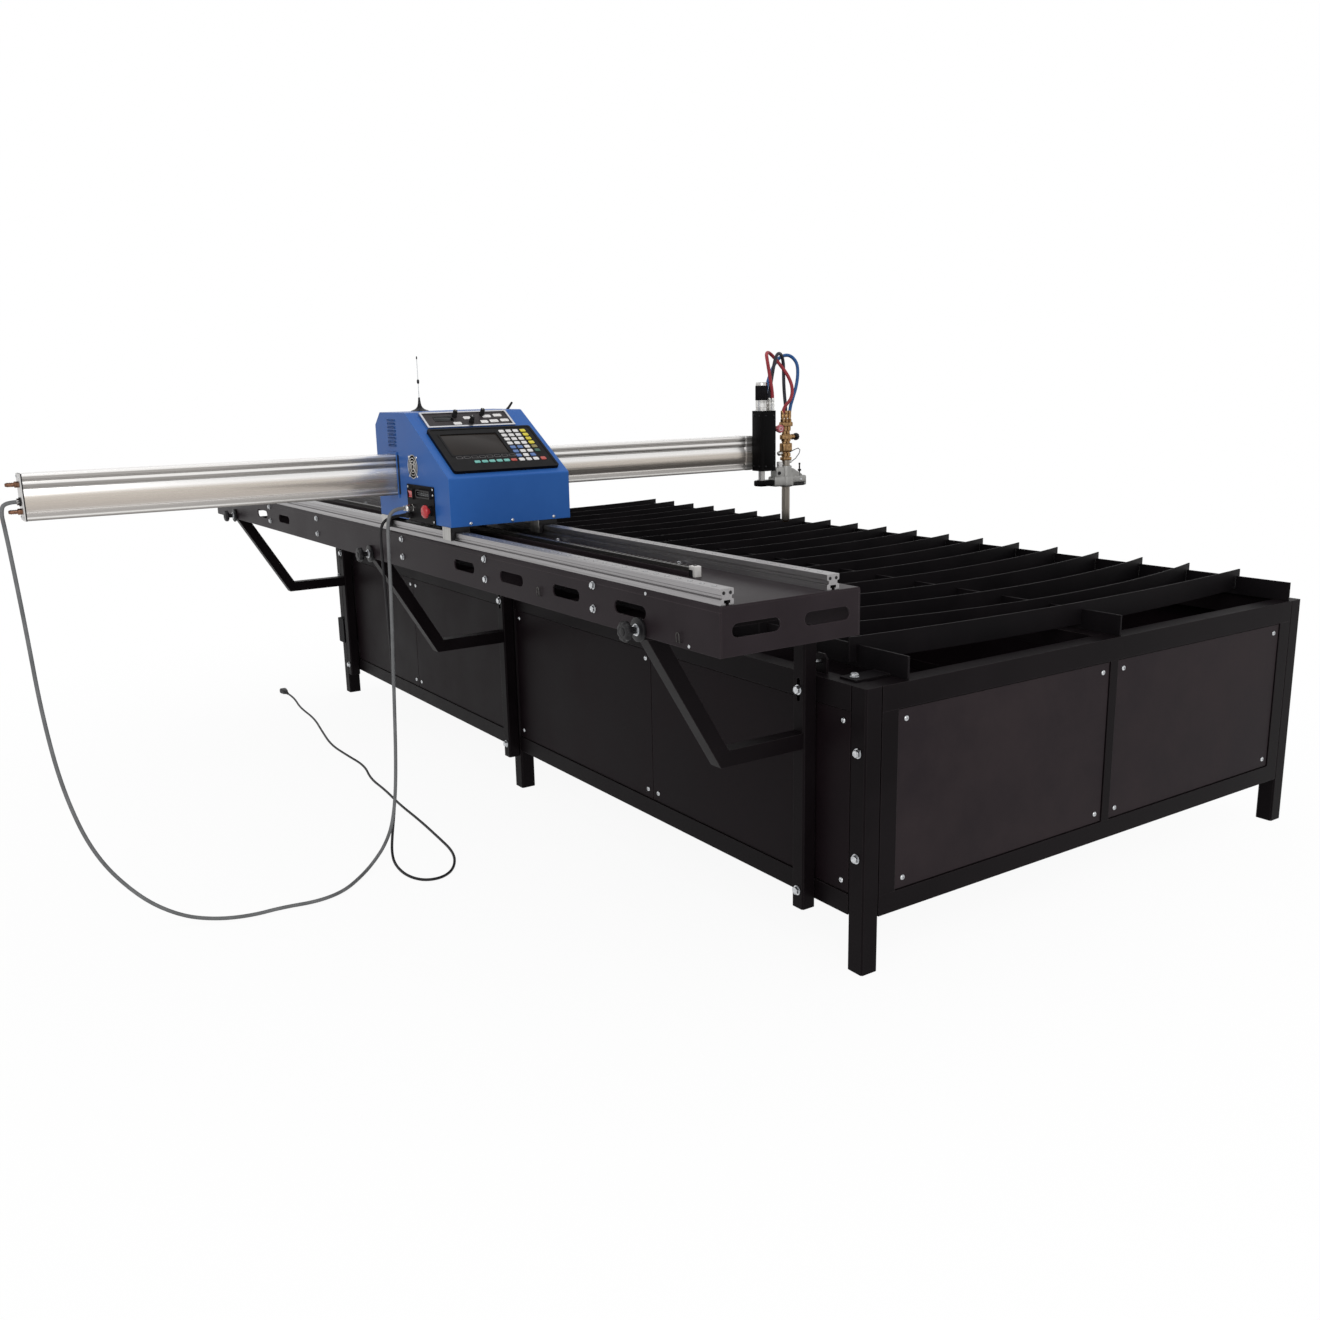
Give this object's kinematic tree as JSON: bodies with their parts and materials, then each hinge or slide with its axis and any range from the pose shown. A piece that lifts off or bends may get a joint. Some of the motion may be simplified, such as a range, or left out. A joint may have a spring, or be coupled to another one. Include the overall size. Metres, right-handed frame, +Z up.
{
  "type": "CNC cutting machine",
  "caption": "Cantilever CNC cutting machine: black slatted cutting table, side rails, blue drive carriage with console, and a sliding beam that carries a gas torch.",
  "frame": {"origin": "middle of the footprint at floor level, measured without the cords", "axes": "+X along the table towards the end with the carriage's console, +Y from the rail side across the bed, +Z up from the floor"},
  "size_m": [3.665, 3.2632, 1.4429],
  "materials": {
    "black_coat": "satin powder coat",
    "plate_steel": "dark mill scale",
    "zinc_steel": "zinc plated",
    "rack_steel": "oiled",
    "aluminium": "natural anodised",
    "cast_grey": "as cast",
    "blue_coat": "satin powder coat",
    "lifter_grey": "satin coat",
    "motor_black": "satin coat",
    "black_plastic": "fine texture",
    "screen_glass": "dark",
    "key_plastic": "membrane",
    "red_plastic": "gloss",
    "pink_plastic": "gloss",
    "brass": "turned",
    "torch_steel": "turned",
    "grey_sheath": "matt",
    "black_sheath": "matt",
    "blue_rubber": "matt",
    "red_rubber": "matt"
  },
  "bodies": {
    "table": {"legs": "black_coat", "frame_rails": "black_coat", "bed_bearers": "black_coat", "side_panels": "black_coat", "end_panels": "black_coat", "panel_ledges": "black_coat", "panel_screws": "zinc_steel", "slag_sheets": "plate_steel", "slats": "plate_steel", "slat_supports": "black_coat", "struts": "black_coat", "strut_bolts": "zinc_steel", "support_arms": "black_coat", "side_box": "black_coat", "rail_base": "black_coat", "guide_rails": "aluminium", "rack": "rack_steel", "base_hardware": "zinc_steel", "mains_plug": "black_plastic"},
    "carriage": {"carriage_casing": "blue_coat", "beam_collars": "black_plastic", "chassis": "zinc_steel", "rail_sliders": "aluminium", "drive_motors": "motor_black", "thc_panel": "aluminium", "controller": "black_plastic", "screen": "screen_glass", "keypad": "key_plastic", "connector_plate": "black_coat", "sockets": "black_plastic", "fan_guard": "black_plastic", "aerials": "black_plastic", "grey_cable": "grey_sheath", "mains_cord": "black_sheath"},
    "beam": {"beam": "aluminium", "beam_rack": "rack_steel", "beam_end_plate": "black_coat", "gas_nipples": "brass", "lifter_body": "lifter_grey", "lifter_motor": "motor_black"},
    "torch": {"lift_post": "zinc_steel", "torch_clamp": "cast_grey", "torch": "torch_steel", "torch_valves": "brass", "hose_blue": "blue_rubber", "hose_black": "black_sheath", "hose_red": "red_rubber"},
    "x_pinion": {"x_pinion": "rack_steel"},
    "y_pinion": {"y_pinion": "rack_steel"},
    "fan": {"fan_rotor": "black_plastic"},
    "rocker": {"power_rocker": "red_plastic"},
    "stop_button": {"stop_button": "red_plastic"},
    "dial_left": {"dial_left": "black_plastic"},
    "dial_mid": {"dial_mid": "black_plastic"},
    "dial_right": {"dial_right": "black_plastic"},
    "knob_near": {"knob_near": "black_plastic"},
    "knob_mid": {"knob_mid": "black_plastic"},
    "knob_far": {"knob_far": "black_plastic"},
    "fuel_knob": {"fuel_valve_knob": "pink_plastic"},
    "oxygen_knob": {"oxygen_valve_knob": "black_plastic"}
  },
  "joints": [
    {"name": "carriage_slide", "type": "slide", "parent": "table", "child": "carriage", "axis": [1, 0, 0], "range_m": [-1.885, 1.115], "deforming": ["mains_cord"]},
    {"name": "beam_slide", "type": "slide", "parent": "carriage", "child": "beam", "axis": [0, 1, 0], "range_m": [-0.774, 0.726], "deforming": ["grey_cable"]},
    {"name": "torch_lift", "type": "slide", "parent": "beam", "child": "torch", "axis": [0, 0, 1], "range_m": [-0.06, 0.03], "deforming": ["hose_blue", "hose_black", "hose_red"]},
    {"name": "x_pinion_turn", "type": "hinge", "parent": "carriage", "child": "x_pinion", "pos_m": [0.31, -0.4019, 0.948], "axis": [0, 0, 1], "range_deg": [-2132, 3603]},
    {"name": "y_pinion_turn", "type": "hinge", "parent": "carriage", "child": "y_pinion", "pos_m": [0.1704, -0.4365, 1.107], "axis": [0, 0, 1], "range_deg": [-1480, 1389]},
    {"name": "fan_spin", "type": "hinge", "parent": "carriage", "child": "fan", "pos_m": [0.391, -0.60615, 1.135], "axis": [0, 1, 0], "continuous": true},
    {"name": "rocker_tip", "type": "hinge", "parent": "carriage", "child": "rocker", "pos_m": [0.374, -0.6225, 1.06], "axis": [1, 0, 0], "range_deg": [-16, 0]},
    {"name": "stop_press", "type": "slide", "parent": "carriage", "child": "stop_button", "axis": [0, 1, 0], "range_m": [0, 0.006], "stiffness_N_per_m": 600, "springref_m": -0.002},
    {"name": "dial_left_turn", "type": "hinge", "parent": "carriage", "child": "dial_left", "pos_m": [0.38213, -0.4815, 1.26696], "axis": [0.5283, 0, 0.8491], "range_deg": [-135, 135]},
    {"name": "dial_mid_turn", "type": "hinge", "parent": "carriage", "child": "dial_mid", "pos_m": [0.4093, -0.4425, 1.25006], "axis": [0.5283, 0, 0.8491], "range_deg": [-135, 135]},
    {"name": "dial_right_turn", "type": "hinge", "parent": "carriage", "child": "dial_right", "pos_m": [0.37959, -0.3955, 1.26855], "axis": [0.5283, 0, 0.8491], "range_deg": [-135, 135]},
    {"name": "knob_near_turn", "type": "hinge", "parent": "table", "child": "knob_near", "pos_m": [1.522, -0.6109, 0.852], "axis": [0, 1, 0], "range_deg": [-1080, 0]},
    {"name": "knob_mid_turn", "type": "hinge", "parent": "table", "child": "knob_mid", "pos_m": [0, -0.6109, 0.852], "axis": [0, 1, 0], "range_deg": [-1080, 0]},
    {"name": "knob_far_turn", "type": "hinge", "parent": "table", "child": "knob_far", "pos_m": [-1.522, -0.6109, 0.852], "axis": [0, 1, 0], "range_deg": [-1080, 0]},
    {"name": "fuel_knob_turn", "type": "hinge", "parent": "torch", "child": "fuel_knob", "pos_m": [0.3239, 0.7465, 1.186], "axis": [1, 0, 0], "range_deg": [0, 270]},
    {"name": "oxygen_knob_turn", "type": "hinge", "parent": "torch", "child": "oxygen_knob", "pos_m": [0.303, 0.8354, 1.156], "axis": [0, 1, 0], "range_deg": [0, 270]}
  ],
  "couplings": [
    {"joint": "x_pinion_turn", "follows": "carriage_slide", "rad_per_m": -33.333},
    {"joint": "y_pinion_turn", "follows": "beam_slide", "rad_per_m": 33.333}
  ]
}
